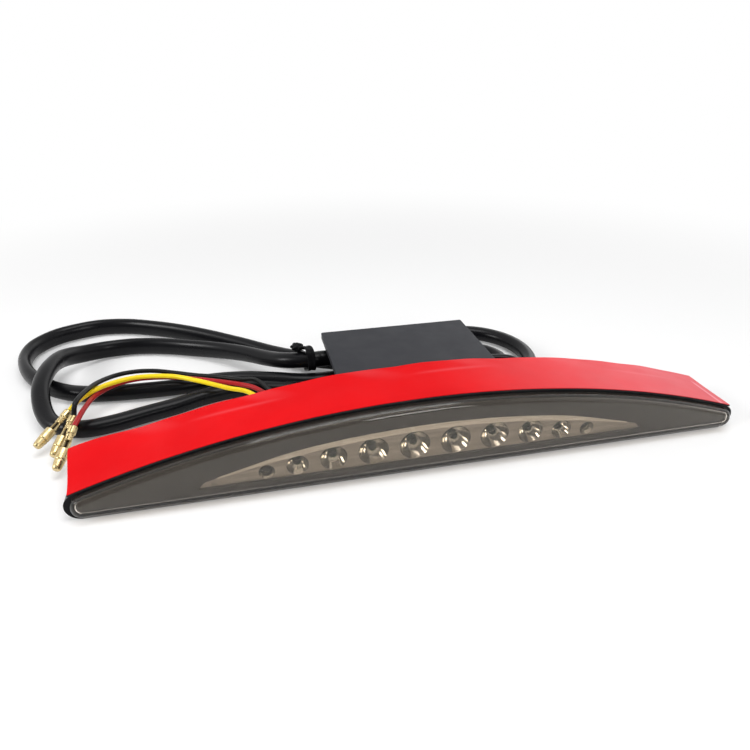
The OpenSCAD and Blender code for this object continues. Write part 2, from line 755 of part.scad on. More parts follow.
housing();
lens();
lens_seal();
bezel();
reflector();
circuit_board();
for (k = [1:led_count]) led(k - 1);
resistors();
board_screws();
tape_foam();
tape_liner();
cable_grommet();
lamp_lead();
module_case();
module_cover();
module_board();
module_chip();
module_capacitor();
module_diodes();
lamp_grommet();
supply_grommet();
supply_lead();
wire_yellow();
wire_red();
wire_black();
terminal_yellow();
terminal_red();
terminal_black();
cable_tie();
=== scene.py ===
"""Looks of an arched LED tail light with its tape, control module and folded supply lead.

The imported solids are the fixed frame. Rigid pieces keep their solids and get finishes here.
Leads, cores, terminals, the tie, the film, the lens, the reflector and the cover plate are
surfaces worked out with numpy in the same frame, in millimetres until they become meshes.
"""

from __future__ import annotations

import logging
import math
from dataclasses import dataclass
from enum import Enum

import bpy
import numpy as np
from bpy.types import ID, Material, Node, NodeOutputs, NodeSocket, NodeTree, Object, Scene
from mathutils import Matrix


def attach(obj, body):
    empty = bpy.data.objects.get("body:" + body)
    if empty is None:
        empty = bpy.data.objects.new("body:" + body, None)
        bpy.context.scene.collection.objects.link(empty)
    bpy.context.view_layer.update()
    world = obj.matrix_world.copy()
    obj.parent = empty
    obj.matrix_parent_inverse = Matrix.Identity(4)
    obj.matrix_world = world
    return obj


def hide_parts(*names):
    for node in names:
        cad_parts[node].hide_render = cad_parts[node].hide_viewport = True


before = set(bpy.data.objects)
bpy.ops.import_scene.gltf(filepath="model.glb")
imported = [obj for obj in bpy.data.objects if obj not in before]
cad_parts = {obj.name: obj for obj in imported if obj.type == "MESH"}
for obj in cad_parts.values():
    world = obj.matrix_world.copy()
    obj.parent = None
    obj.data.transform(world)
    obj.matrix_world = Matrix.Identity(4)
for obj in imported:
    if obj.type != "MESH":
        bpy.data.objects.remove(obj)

LOG = logging.getLogger("tail_light")
Array = np.ndarray
Pair = tuple[float, float]
Triple = tuple[float, float, float]
Faces = list[list[int]]
Inputs = dict[str | int, object]
MM = 0.001
BODY = "root"
WHITE = (1, 1, 1, 1)
# Colour of the painted shade along the lens's bottom edge.
PAINTED_SHADE_BLACK = (0.006, 0.006, 0.006, 1)


class RayKind(Enum):
    """Outputs of the Light Path node that the studio and the clear finishes tell apart."""

    CAMERA = "Is Camera Ray"
    GLOSSY = "Is Glossy Ray"
    TRANSMISSION = "Is Transmission Ray"
    SHADOW = "Is Shadow Ray"


class Socket(Enum):
    """Kinds of sockets on the shared shader groups."""

    FLOAT = "NodeSocketFloat"
    VECTOR = "NodeSocketVector"
    COLOR = "NodeSocketColor"


class LeadKind(Enum):
    INTO_OBJECT = "object"
    BARE = "bare"
    CONNECTOR = "connector"


# Curves and meshes


def unit(v: Array) -> Array:
    """Vectors divided by their lengths, along the last axis."""
    return v / np.linalg.norm(v, axis=-1, keepdims=True)


def smooth_step(t: Array) -> Array:
    """Cubic ease 3t^2 - 2t^3 of t held between 0 and 1."""
    t = np.clip(t, 0.0, 1.0)
    return t * t * (3.0 - 2.0 * t)


def bell(t: Array, width: float) -> Array:
    """Bell curve exp(-(t / width)^2), which is 1 in the middle."""
    return np.exp(-((t / width) ** 2))


def full_turn(count: int) -> Array:
    """Even angles round a full turn, with the last one short of the first."""
    return np.linspace(0, 2 * np.pi, count, endpoint=False)


def xyz(x: Array, y: Array, z: Array) -> Array:
    """Points from coordinates that are spread over one grid."""
    return np.stack(np.broadcast_arrays(x, y, z), -1)


def across_and_above(along: Array) -> tuple[Array, Array]:
    """Level direction across a direction, and the direction square to both."""
    across = unit(np.cross(along, [0.0, 0.0, 1.0]))
    return across, np.cross(across, along)


def grid_quads(rows: int, cols: int, wrap_rows: bool = False, wrap_cols: bool = False) -> Array:
    """Quads of a grid of points that is numbered row by row.

    Args:
        rows: Number of rows of points.
        cols: Number of points in a row.
        wrap_rows: Whether the last row joins the first.
        wrap_cols: Whether the last column joins the first.

    Returns:
        Array of four point numbers for each quad.
    """
    i = np.arange(rows if wrap_rows else rows - 1)[:, None]
    j = np.arange(cols if wrap_cols else cols - 1)[None, :]
    i1, j1 = (i + 1) % rows, (j + 1) % cols
    return np.stack([i * cols + j, i * cols + j1, i1 * cols + j1, i1 * cols + j], -1).reshape(-1, 4)


def capped_faces(rows: int, cols: int) -> Faces:
    """Quads of a closed tube of rings, with a flat face on each end."""
    last = (rows - 1) * cols
    caps = [list(range(cols))[::-1], list(range(last, last + cols))]
    return grid_quads(rows, cols, wrap_cols=True).tolist() + caps


def catmull_rom(points: Array, steps: int) -> Array:
    """Smooth curve through points: each span is a cubic that leaves a point along its neighbours' chord.

    Args:
        points: Points of the route, one in each row.
        steps: Number of steps in a span.

    Returns:
        Points along the curve, ends included.
    """
    p = np.vstack([2 * points[0] - points[1], points, 2 * points[-1] - points[-2]])
    a, b, c, d = p[:-3, None], p[1:-2, None], p[2:-1, None], p[3:, None]
    t = (np.arange(steps) / steps)[None, :, None]
    bend, twist = 2 * a - 5 * b + 4 * c - d, 3 * b - a - 3 * c + d
    spans = 0.5 * (2 * b + (c - a) * t + bend * t**2 + twist * t**3)
    return np.vstack([spans.reshape(-1, 3), points[-1:]])


def arc(centre: Triple, radius: float, start: float, end: float, steps: int) -> Array:
    """Points on a level arc: the centre plus the radius times (cos a, sin a), with angles in degrees."""
    a = np.radians(np.linspace(start, end, steps + 1))
    x, y, z = centre
    return xyz(x + radius * np.cos(a), y + radius * np.sin(a), z)


def path_length(path: Array) -> float:
    """Sum of the distances between neighbouring points."""
    return float(np.linalg.norm(np.diff(path, axis=0), axis=1).sum())


def tube_points(path: Array, radius: float, sides: int, oval: Array) -> Array:
    """Rings square to a path: centre + r (1 - o) cos a across + r (1 + o) sin a above, with across level.

    Args:
        path: Points of the centreline.
        radius: Radius of the rings.
        sides: Points on a ring.
        oval: Share by which each ring is narrower and taller.

    Returns:
        Points of all rings, ring by ring.
    """
    across, above = across_and_above(unit(np.gradient(path, axis=0)))
    a = full_turn(sides)[None, :, None]
    o = oval[:, None, None]
    ring = (1 - o) * np.cos(a) * across[:, None] + (1 + o) * np.sin(a) * above[:, None]
    return path[:, None] + radius * ring


def place_object(name: str, data: ID) -> Object:
    """A new object in the scene."""
    made = bpy.data.objects.new(name, data)
    bpy.context.scene.collection.objects.link(made)
    return made


def add_piece(
    name: str, points: Array, faces: Faces, finish: Finish, node: str | None = None, sharp: float = 40.0,
    painted_light: Array | None = None,
) -> Object:
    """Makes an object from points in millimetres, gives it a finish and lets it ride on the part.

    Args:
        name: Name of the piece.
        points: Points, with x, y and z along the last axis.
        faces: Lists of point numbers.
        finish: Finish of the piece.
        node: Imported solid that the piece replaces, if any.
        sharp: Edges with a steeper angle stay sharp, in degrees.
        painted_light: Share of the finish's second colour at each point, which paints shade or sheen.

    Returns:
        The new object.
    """
    mesh = bpy.data.meshes.new(name)
    mesh.from_pydata((points.reshape(-1, 3) * MM).tolist(), [], faces)
    mesh.validate()
    mesh.polygons.foreach_set("use_smooth", np.ones(len(mesh.polygons), bool))
    mesh.set_sharp_from_angle(angle=math.radians(sharp))
    mesh.materials.append(finish.material())
    # Point attribute of painted light: painted shade on terminals, painted sheen and highlights on the film.
    if painted_light is not None:
        shares = mesh.attributes.new("painted_light", "FLOAT", "POINT")
        shares.data.foreach_set("value", painted_light.astype(np.float32).ravel())
    mesh.update()
    piece = place_object(name, mesh)
    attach(piece, BODY)
    if node:
        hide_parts(node)
    LOG.info("piece %s: %d points, %d faces", name, len(mesh.vertices), len(mesh.polygons))
    return piece


# Shader nodes


def fill(node: Node, inputs: Inputs) -> None:
    """Sets a node's inputs: a socket is linked, and anything else is set as a plain value."""
    for label, value in inputs.items():
        if isinstance(value, NodeSocket):
            node.id_data.links.new(value, node.inputs[label])
        else:
            node.inputs[label].default_value = value


def add_node(tree: NodeTree, kind: str, inputs: Inputs | None = None, **settings: object) -> Node:
    """Places a node in a tree.

    Args:
        tree: Tree that the node goes into.
        kind: Kind of node, in Blender's words after ShaderNode.
        inputs: Plain values or sockets, by the names or numbers of the node's inputs.
        settings: Properties of the node.

    Returns:
        The new node.
    """
    node = tree.nodes.new("ShaderNode" + kind)
    for label, value in settings.items():
        setattr(node, label, value)
    fill(node, inputs or {})
    return node


def maths(tree: NodeTree, operation: str, first: NodeSocket, second: NodeSocket) -> NodeSocket:
    """Product, larger value or the like of two values."""
    return add_node(tree, "Math", {0: first, 1: second}, operation=operation).outputs[0]


def map_range(
    tree: NodeTree, value: NodeSocket, span: tuple[object, object], low: object = 0.0, high: object = 1.0,
    ease: str = "LINEAR",
) -> NodeSocket:
    """Value carried from a span to the range from low to high, and held at both ends."""
    start, end = span
    ends = {"Value": value, "From Min": start, "From Max": end, "To Min": low, "To Max": high}
    return add_node(tree, "MapRange", ends, interpolation_type=ease).outputs["Result"]


def blend(tree: NodeTree, share: NodeSocket, first: object, second: object) -> NodeSocket:
    """Colour that moves from the first to the second with a share."""
    tones = {"Factor": share, "A": first, "B": second}
    return add_node(tree, "Mix", tones, data_type="RGBA").outputs["Result"]


def mix_shaders(tree: NodeTree, share: NodeSocket, first: Node, second: Node) -> NodeSocket:
    """Shader that moves from the first node's to the second node's with a share."""
    ends = {"Fac": share, 1: first.outputs[0], 2: second.outputs[0]}
    return add_node(tree, "MixShader", ends).outputs[0]


def new_material(name: str) -> tuple[Material, NodeTree]:
    """A new material and its node tree."""
    made = bpy.data.materials.new(name)
    made.use_nodes = True
    return made, made.node_tree


class ShaderGroups:
    """Node groups that several finishes use, built once."""

    kinds: dict[str, Socket] = {
        "Stretch": Socket.VECTOR, "Light": Socket.COLOR, "Dark": Socket.COLOR, "Color": Socket.COLOR}

    def __init__(self) -> None:
        """Builds the groups."""
        self.mottle = self._mottle()
        self.tone = self._tone()
        self.grain = self._grain()
        self.below = self._below()

    def _tree(self, name: str, inputs: tuple[str, ...], output: str) -> tuple[NodeTree, NodeOutputs, Node]:
        """A new group with its sockets, which are plain numbers unless kinds says otherwise.

        Args:
            name: Name of the group.
            inputs: Names of its inputs.
            output: Name of its output.

        Returns:
            The group, the sockets that bring its inputs, and the node that takes its output.
        """
        tree = bpy.data.node_groups.new(name, "ShaderNodeTree")
        for label in (*inputs, output):
            way = "OUTPUT" if label == output else "INPUT"
            kind = self.kinds.get(label, Socket.FLOAT)
            tree.interface.new_socket(name=label, in_out=way, socket_type=kind.value)
        return tree, tree.nodes.new("NodeGroupInput").outputs, tree.nodes.new("NodeGroupOutput")

    @staticmethod
    def _noise(
        tree: NodeTree, scale: NodeSocket, detail: float, stretch: NodeSocket | None = None,
    ) -> NodeSocket:
        """Noise on Object coordinates inside a group, with axes drawn out where stretch is below 1."""
        place = add_node(tree, "TexCoord").outputs["Object"]
        if stretch:
            axes = {0: place, 1: stretch}
            place = add_node(tree, "VectorMath", axes, operation="MULTIPLY").outputs["Vector"]
        return add_node(tree, "TexNoise", {"Vector": place, "Scale": scale, "Detail": detail}).outputs["Fac"]

    def _mottle(self) -> NodeTree:
        """Value between Low and High that follows a soft noise."""
        tree, start, end = self._tree("mottle", ("Scale", "Low", "High"), "Value")
        noise = self._noise(tree, start["Scale"], 4.0)
        fill(end, {"Value": map_range(tree, noise, (0.3, 0.7), start["Low"], start["High"])})
        return tree

    def _tone(self) -> NodeTree:
        """Colour between two tones that follows a broad noise."""
        tree, start, end = self._tree("tone", ("Scale", "Stretch", "Light", "Dark"), "Color")
        noise = self._noise(tree, start["Scale"], 5.0, start["Stretch"])
        share = map_range(tree, noise, (0.32, 0.68))
        fill(end, {"Color": blend(tree, share, start["Dark"], start["Light"])})
        return tree

    def _grain(self) -> NodeTree:
        """Height of a moulded grain: a broad wave of the surface plus a fine one."""
        tree, start, end = self._tree("grain", ("Broad", "Fine", "Share"), "Height")
        broad, fine = self._noise(tree, start["Broad"], 1.0), self._noise(tree, start["Fine"], 3.0)
        mix = add_node(tree, "Mix", {"Factor": start["Share"], "A": broad, "B": fine})
        fill(end, {"Height": mix.outputs["Result"]})
        return tree

    def _below(self) -> NodeTree:
        """Mask that is 1 under the height Low and fades to 0 at the height High, in metres."""
        tree, start, end = self._tree("below", ("Low", "High"), "Mask")
        parts = add_node(tree, "SeparateXYZ", {"Vector": add_node(tree, "TexCoord").outputs["Object"]})
        fill(end, {"Mask": map_range(tree, parts.outputs["Z"], (start["Low"], start["High"]), 1.0, 0.0)})
        return tree


GROUPS = ShaderGroups()


# Finishes


@dataclass(frozen=True)
class Finish:
    """A surface finish: two tones, a roughness range and a moulded grain.

    Scales are in waves for each metre, depths in millimetres.
    """

    slot: str
    light: Triple
    dark: Triple
    rough: Pair = (0.3, 0.4)
    tone_scale: float = 60.0
    stretch: Triple = (1.0, 1.0, 1.0)
    rough_scale: float = 140.0
    broad: float = 120.0
    fine: float = 1800.0
    share: float = 0.5
    depth: float = 0.02
    metallic: float = 0.0
    specular: float = 0.5
    # Second colour for painted light: painted shade on the terminals, painted sheen on the film.
    painted_light_tone: Triple | None = None
    label: str = ""

    def material(self) -> Material:
        """The material of this finish, made once."""
        name = "finish_" + (self.label or self.slot)
        return bpy.data.materials.get(name) or self._build(name)

    @staticmethod
    def _group(tree: NodeTree, group: NodeTree, values: Inputs) -> NodeSocket:
        """Output of a shared group that is placed in a material with its own values."""
        return add_node(tree, "Group", values, node_tree=group).outputs[0]

    def _color(self, tree: NodeTree) -> NodeSocket:
        """Colour that moves between the light and the dark tone."""
        tones = {"Light": (*self.light, 1), "Dark": (*self.dark, 1)}
        return self._group(tree, GROUPS.tone, {"Scale": self.tone_scale, "Stretch": self.stretch, **tones})

    def _build(self, name: str) -> Material:
        """Principled shader with tone on Base Color, mottle on Roughness and grain on Normal."""
        made, tree = new_material(name)
        color = self._color(tree)
        # Painted light: the point attribute mixes in painted shade or painted sheen.
        if self.painted_light_tone:
            share = add_node(tree, "Attribute", attribute_name="painted_light").outputs["Fac"]
            color = blend(tree, share, color, (*self.painted_light_tone, 1))
        low, high = self.rough
        rough = self._group(tree, GROUPS.mottle, {"Scale": self.rough_scale, "Low": low, "High": high})
        grain = self._group(tree, GROUPS.grain, {"Broad": self.broad, "Fine": self.fine, "Share": self.share})
        bump = add_node(tree, "Bump", {"Distance": self.depth * MM, "Height": grain})
        fill(tree.nodes["Principled BSDF"], {
            "Base Color": color, "Roughness": rough, "Normal": bump.outputs["Normal"],
            "Metallic": self.metallic, "Specular IOR Level": self.specular})
        return made


@dataclass(frozen=True)
class ClearFinish(Finish):
    """A clear moulded finish that lamplight passes through, with painted shade black under a height in mm."""

    shadow_tint: Triple = (0.8, 0.8, 0.8)
    milky: float = 0.0
    clear_rough: float = 0.02
    ior: float = 1.49
    # Heights in millimetres below which the lens is painted black: painted shade along its bottom edge.
    foot: Pair | None = None
    foot_rough: float = 0.7

    def _build(self, name: str) -> Material:
        """Transmitting Principled shader, swapped for a tinted Transparent one on shadow rays."""
        made, tree = new_material(name)
        color, rough = self._color(tree), self.clear_rough
        # Painted shade: black and rough under the foot heights, along the bottom edge.
        if self.foot:
            low, high = self.foot
            below = self._group(tree, GROUPS.below, {"Low": low * MM, "High": high * MM})
            color = blend(tree, below, color, PAINTED_SHADE_BLACK)
            ends = {"Factor": below, "A": rough, "B": self.foot_rough}
            rough = add_node(tree, "Mix", ends).outputs["Result"]
        shader = tree.nodes["Principled BSDF"]
        fill(shader, {
            "Base Color": color, "Roughness": rough,
            "IOR": self.ior, "Transmission Weight": 1.0 - self.milky})
        clear = add_node(tree, "BsdfTransparent", {"Color": (*self.shadow_tint, 1)})
        shadow = add_node(tree, "LightPath").outputs[RayKind.SHADOW.value]
        fill(tree.nodes["Material Output"], {"Surface": mix_shaders(tree, shadow, shader, clear)})
        return made


ALONG_LAMP = (0.05, 1.0, 1.0)


@dataclass(frozen=True)
class Finishes:
    """All finishes of the part, by the place they are used."""

    housing: Finish = Finish(
        "black_plastic", (0.009, 0.009, 0.01), (0.005, 0.005, 0.006), (0.25, 0.35), specular=0.08)
    # The foot is painted shade: the lens is painted black along its bottom edge.
    lens: Finish = ClearFinish(
        "smoked_lens", (0.7, 0.65, 0.585), (0.64, 0.59, 0.53), tone_scale=500.0, stretch=ALONG_LAMP,
        shadow_tint=(0.78, 0.75, 0.71), milky=0.02, clear_rough=0.08, ior=1.38, foot=(2.2, 2.5))
    sealant: Finish = Finish(
        "seal_grey", (0.24, 0.23, 0.21), (0.19, 0.18, 0.165), (0.5, 0.65), specular=0.15)
    seal: Finish = Finish(
        "seal_rubber", (0.014, 0.014, 0.015), (0.008, 0.008, 0.009), (0.5, 0.65), specular=0.15)
    bezel: Finish = Finish(
        "bezel_plastic", (0.04, 0.038, 0.036), (0.03, 0.029, 0.027), (0.35, 0.45), fine=2600.0, specular=0.3)
    plate: Finish = Finish(
        "reflector_coat", (0.5, 0.46, 0.41), (0.36, 0.33, 0.29), (0.26, 0.38), tone_scale=900.0,
        stretch=ALONG_LAMP, metallic=0.15, depth=0.03, label="reflector_plate")
    # A lighter copy of the reflector coat: painted highlight for the light that the upturned ledge catches.
    ledge: Finish = Finish(
        "reflector_coat", (0.8, 0.75, 0.67), (0.64, 0.6, 0.53), (0.2, 0.3), tone_scale=900.0,
        stretch=ALONG_LAMP, metallic=0.1, depth=0.03, label="reflector_ledge")
    bowl: Finish = Finish(
        "reflector_coat", (0.85, 0.83, 0.78), (0.78, 0.76, 0.71), (0.05, 0.1), metallic=1.0, depth=0.01,
        label="reflector_bowl")
    board: Finish = Finish("board_green", (0.05, 0.16, 0.07), (0.03, 0.11, 0.05), (0.35, 0.5), fine=900.0)
    chip: Finish = Finish("part_black", (0.03, 0.03, 0.03), (0.018, 0.018, 0.018), (0.45, 0.6))
    screw: Finish = Finish("screw_steel", (0.62, 0.63, 0.65), (0.5, 0.51, 0.53), (0.2, 0.35), metallic=1.0)
    foam: Finish = Finish(
        "foam_grey", (0.03, 0.03, 0.032), (0.016, 0.016, 0.018), (0.75, 0.9), broad=900.0, fine=2600.0,
        depth=0.12, specular=0.1)
    # The pale pink second colour is painted sheen and painted highlight on the film.
    film: Finish = Finish(
        "film_red", (0.73, 0.007, 0.01), (0.66, 0.005, 0.008), (0.36, 0.5), tone_scale=38.0, broad=70.0,
        fine=900.0, share=0.25, depth=0.1, specular=0.03, painted_light_tone=(1.0, 0.55, 0.62))
    sleeve: Finish = Finish(
        "sleeve_black", (0.006, 0.006, 0.007), (0.003, 0.003, 0.004), (0.25, 0.33), rough_scale=40.0,
        broad=30.0, fine=500.0, share=0.1, depth=0.02, specular=0.17)
    cover: Finish = Finish(
        "cover_plastic", (0.04, 0.041, 0.046), (0.032, 0.033, 0.038), (0.4, 0.5), tone_scale=45.0,
        broad=500.0, fine=3200.0, share=0.8, depth=0.03, specular=0.06)
    capacitor: Finish = Finish("capacitor_sleeve", (0.04, 0.07, 0.22), (0.03, 0.05, 0.16), (0.3, 0.4))
    yellow: Finish = Finish("core_yellow", (0.98, 0.72, 0.012), (0.9, 0.64, 0.01), (0.28, 0.4), specular=0.25)
    red: Finish = Finish("core_red", (0.42, 0.01, 0.013), (0.3, 0.007, 0.009), (0.28, 0.4), specular=0.25)
    black: Finish = Finish(
        "core_black", (0.009, 0.009, 0.009), (0.005, 0.005, 0.005), (0.28, 0.4), specular=0.2)
    # The near-black second colour is painted shade in the terminals' trough, grooves and mouth.
    brass: Finish = Finish(
        "bullet_brass", (0.74, 0.6, 0.33), (0.52, 0.39, 0.18), (0.22, 0.4), tone_scale=420.0,
        rough_scale=900.0, metallic=1.0, depth=0.02, painted_light_tone=(0.012, 0.008, 0.004))
    nylon: Finish = Finish(
        "tie_nylon", (0.012, 0.012, 0.013), (0.006, 0.006, 0.007), (0.3, 0.44), specular=0.08)
    led: Finish = ClearFinish(
        "led_clear", (0.9, 0.9, 0.88), (0.84, 0.84, 0.82), shadow_tint=(0.9, 0.9, 0.9), ior=1.5)


FINISH = Finishes()


def dress(**finishes: Finish) -> None:
    """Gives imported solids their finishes, by the names of their nodes."""
    for node, finish in finishes.items():
        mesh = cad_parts[node].data
        mesh.materials.clear()
        mesh.materials.append(finish.material())
        LOG.info("solid %s: %s", node, finish.slot)


# Camera, light and floor


@dataclass(frozen=True)
class Lamp:
    """An oblong soft lamp that faces a target, with its width level. Millimetres and watts."""

    name: str
    place: Triple
    target: Triple
    size: Pair
    power: float

    def build(self) -> None:
        """Places the lamp and turns it down and round to its target."""
        data = bpy.data.lights.new(self.name, "AREA")
        data.shape, data.energy = "RECTANGLE", self.power
        data.size, data.size_y = (v * MM for v in self.size)
        lamp = place_object(self.name, data)
        x, y, z = np.array(self.target, float) - np.array(self.place, float)
        lamp.location = [v * MM for v in self.place]
        lamp.rotation_euler = (math.atan2(math.hypot(x, y), -z), 0.0, math.atan2(y, x) - math.pi / 2)


@dataclass
class Studio:
    """Camera at the photograph's viewing angle, pale floor and soft light.

    Lengths are in millimetres and angles in degrees. The glow's reach is in metres.
    """

    eye: Triple = (-63.29, -185.66, 138.87)
    yaw: float = 13.12
    pitch: float = 28.32
    focal: float = 29.417
    sensor: float = 36.0
    room: float = 0.15
    room_fade: Pair = (-0.5, 0.2)
    soft_light: float = 0.35
    floor_z: float = -0.3
    floor_size: float = 6000.0
    floor_tone: Triple = (0.93, 0.93, 0.93)
    glow_near: float = 0.15
    glow_reach: Pair = (0.18, 0.5)
    lamps: tuple[Lamp, ...] = (
        Lamp("key", (0, -60, 640), (0, 30, 0), (480, 300), 2.2),
        Lamp("side", (-640, -110, 350), (-110, 120, 0), (220, 200), 2.2),
        Lamp("fill", (145, -560, 300), (0, 0, 15), (200, 140), 0.8),
        Lamp("right", (560, -300, 320), (70, 0, 15), (500, 500), 0.7),
        Lamp("back", (600, 640, 400), (60, 0, 30), (500, 500), 1.0))

    def build(self) -> None:
        """Makes the camera, the world, the floor and the lamps."""
        scene = bpy.context.scene
        scene.view_settings.view_transform = "Standard"
        self._camera(scene)
        self._world(scene)
        self._floor()
        for lamp in self.lamps:
            lamp.build()

    def _camera(self, scene: Scene) -> None:
        """Camera that looks along +Y, turned right by yaw and down by pitch."""
        data = bpy.data.cameras.new("camera")
        data.lens, data.sensor_width = self.focal, self.sensor
        data.clip_start, data.clip_end = 0.01, 50.0
        camera = place_object("camera", data)
        camera.location = [v * MM for v in self.eye]
        camera.rotation_euler = (math.radians(90 - self.pitch), 0.0, math.radians(-self.yaw))
        scene.camera = camera

    def _world(self, scene: Scene) -> None:
        """White background and a plain soft light.

        Rays from the camera see white. Shiny and clear surfaces see white behind and over the part, and
        a darker room in front of it. All other rays meet an even soft light.
        """
        scene.world = bpy.data.worlds.new("studio")
        scene.world.use_nodes = True
        tree = scene.world.node_tree
        tree.nodes.clear()
        rays = add_node(tree, "LightPath").outputs
        camera = seen = rays[RayKind.CAMERA.value]
        for kind in (RayKind.GLOSSY, RayKind.TRANSMISSION):
            seen = maths(tree, "MAXIMUM", seen, rays[kind.value])
        parts = add_node(tree, "SeparateXYZ", {"Vector": add_node(tree, "TexCoord").outputs["Generated"]})
        fade = map_range(tree, parts.outputs["Y"], self.room_fade, self.room, ease="SMOOTHSTEP")
        white = maths(tree, "MAXIMUM", fade, camera)
        bright = add_node(tree, "Background", {"Color": WHITE, "Strength": white})
        soft = add_node(tree, "Background", {"Color": WHITE, "Strength": self.soft_light})
        add_node(tree, "OutputWorld", {"Surface": mix_shaders(tree, seen, soft, bright)})

    def _floor(self) -> None:
        """Pale floor that takes the shadow.

        For the camera a share of it glows white, and far off all of it does. Shiny and clear surfaces see
        the floor as it is lit.
        """
        half, z = self.floor_size / 2 * MM, self.floor_z * MM
        mesh = bpy.data.meshes.new("floor")
        corners = [(-half, -half, z), (half, -half, z), (half, half, z), (-half, half, z)]
        mesh.from_pydata(corners, [], [(0, 1, 2, 3)])
        made, tree = new_material("floor_white")
        shader = tree.nodes["Principled BSDF"]
        fill(shader, {"Base Color": (*self.floor_tone, 1), "Roughness": 0.9, "Specular IOR Level": 0.1})
        glow = add_node(tree, "Emission", {"Strength": 1.0})
        place = add_node(tree, "TexCoord").outputs["Object"]
        away = add_node(tree, "VectorMath", {0: place}, operation="LENGTH").outputs["Value"]
        grow = map_range(tree, away, self.glow_reach, self.glow_near, ease="SMOOTHSTEP")
        camera = add_node(tree, "LightPath").outputs[RayKind.CAMERA.value]
        share = maths(tree, "MULTIPLY", camera, grow)
        fill(tree.nodes["Material Output"], {"Surface": mix_shaders(tree, share, shader, glow)})
        mesh.materials.append(made)
        floor = place_object("floor", mesh)


# Leads


@dataclass
class Lead:
    """One round lead along a route of listed points, in millimetres.

    Where a lead is flattened, it turns into a taller oval behind oval_y and left of oval_x.
    """

    name: str
    node: str
    route: Array
    diameter: float
    finish: Finish
    far_end: LeadKind
    sides: int = 24
    steps: int = 12
    stiffness: str = "medium"
    flattened: float = 0.0
    oval_x: float = -34.0
    oval_y: float = 72.0
    oval_ease: Pair = (30.0, 32.0)

    def build(self, with_pieces: tuple[Object, ...] = ()) -> None:
        """Args:
            with_pieces: Pieces on the lead, such as a terminal. Not used.
        """
        path = catmull_rom(self.route, self.steps)
        back = smooth_step((path[:, 1] - self.oval_y) / self.oval_ease[1])
        left = smooth_step((self.oval_x - path[:, 0]) / self.oval_ease[0])
        oval = self.flattened * back * left
        path[:, 2] += oval * self.diameter / 2
        points = tube_points(path, self.diameter / 2, self.sides, oval)
        piece = add_piece(self.name, points, capped_faces(len(path), self.sides), self.finish, self.node)
        LOG.info("lead %s: %.1f mm long", self.name, path_length(path))


@dataclass
class BulletTerminal:
    """Stamped bullet terminal: sheath crimp, core crimp, slotted neck, barrel and tapered tip.

    Sizes are in millimetres from the crimp's mouth, and turns are angles from the top. The profile is
    made of distances and radii.
    """

    name: str
    node: str
    place: Triple
    way: Triple
    length: float = 18.5
    rows: int = 180
    sides: int = 48
    profile: tuple[Pair, ...] = (
        (0, 1.45), (0.25, 1.66), (3.0, 1.72), (3.2, 1.66), (3.5, 1.32), (6.0, 1.28), (6.4, 1.4), (9.7, 1.55),
        (9.8, 1.95), (10.1, 2.05), (14.0, 2.05), (14.3, 2.0), (14.6, 1.84), (14.9, 1.96), (17.3, 1.68),
        (18.0, 1.5), (18.4, 1.2), (18.5, 0.9))
    sheath_end: float = 3.5
    crimp_end: float = 6.2
    neck: Pair = (6.3, 9.85)
    barrel: float = 9.8
    ring: float = 14.6
    mouth: float = 0.2
    rib_step: float = 0.95
    rib_h: float = 0.08
    seam_depth: float = 0.34
    seam_turn: float = 0.2
    fold_depth: float = 0.06
    fold_turn: float = 2.3
    trough_r: float = 0.4
    trough_turn: float = 1.45

    def surface(self, t: Array, a: Array) -> tuple[Array, Array]:
        """Radius and painted shade over the length t and the angle a.

        The radius is a profile by length, less a seam groove along the crimps, plus ribs on the core
        crimp, cut down to a trough over the neck. The trough, the grooves and the mouth get painted shade.

        Args:
            t: Distances from the crimp's mouth.
            a: Angles round the axis, with the trough at a quarter turn.

        Returns:
            Radii and painted shade, one row for each distance.
        """
        stops, radii = np.array(self.profile).T
        base = np.interp(t, stops, radii)[:, None]
        top = np.abs(np.angle(np.exp(1j * (a - np.pi / 2))))[None, :]
        t = t[:, None]
        crimp = smooth_step((self.crimp_end - t) / 0.5)
        seam = crimp * bell(top, self.seam_turn)
        ribs = self.rib_h * np.sin(2 * np.pi * t / self.rib_step) * smooth_step((t - self.sheath_end) / 0.3)
        neck = smooth_step((t - self.neck[0]) / 0.3) * smooth_step((self.neck[1] - t) / 0.12)
        trough = neck * smooth_step((self.trough_turn - top) / 0.25)
        fold = bell(top - self.fold_turn, 0.07) * smooth_step((t - self.barrel) / 0.3)
        ring = bell(t - self.ring, 0.16)
        mouth = smooth_step((self.mouth - t) / self.mouth)
        # Painted shade where shade falls: the neck's trough, the seam grooves, the fold, the ring groove and
        # the mouth.
        dark = np.clip(trough + 0.75 * seam + 0.6 * fold + 0.45 * ring + mouth, 0, 1)
        outside = base - self.seam_depth * seam - self.fold_depth * fold + ribs * crimp
        return outside * (1 - trough) + self.trough_r * trough, dark

    def build(self) -> Object:
        """Turns the radii about the terminal's axis and closes both ends."""
        t = np.linspace(0, self.length, self.rows)
        a = full_turn(self.sides)
        r, dark = self.surface(t, a)
        along = unit(np.array(self.way, float))
        across, above = across_and_above(along)
        ring = np.cos(a)[None, :, None] * across + np.sin(a)[None, :, None] * above
        points = np.array(self.place, float) + t[:, None, None] * along + r[:, :, None] * ring
        faces = capped_faces(self.rows, self.sides)
        # The painted shade mixes in the brass finish's near-black second colour.
        return add_piece(self.name, points, faces, FINISH.brass, self.node, sharp=55.0, painted_light=dark)


@dataclass(frozen=True)
class Core:
    """One core of the supply lead: its place in the sleeve, its route, and its terminal's place and way.

    Places are in millimetres, and the foot is in radii of the ring that the cores stand on.
    """

    colour: str
    finish: Finish
    foot: Triple
    crimp: Triple
    way: Triple
    middle: tuple[Triple, ...]


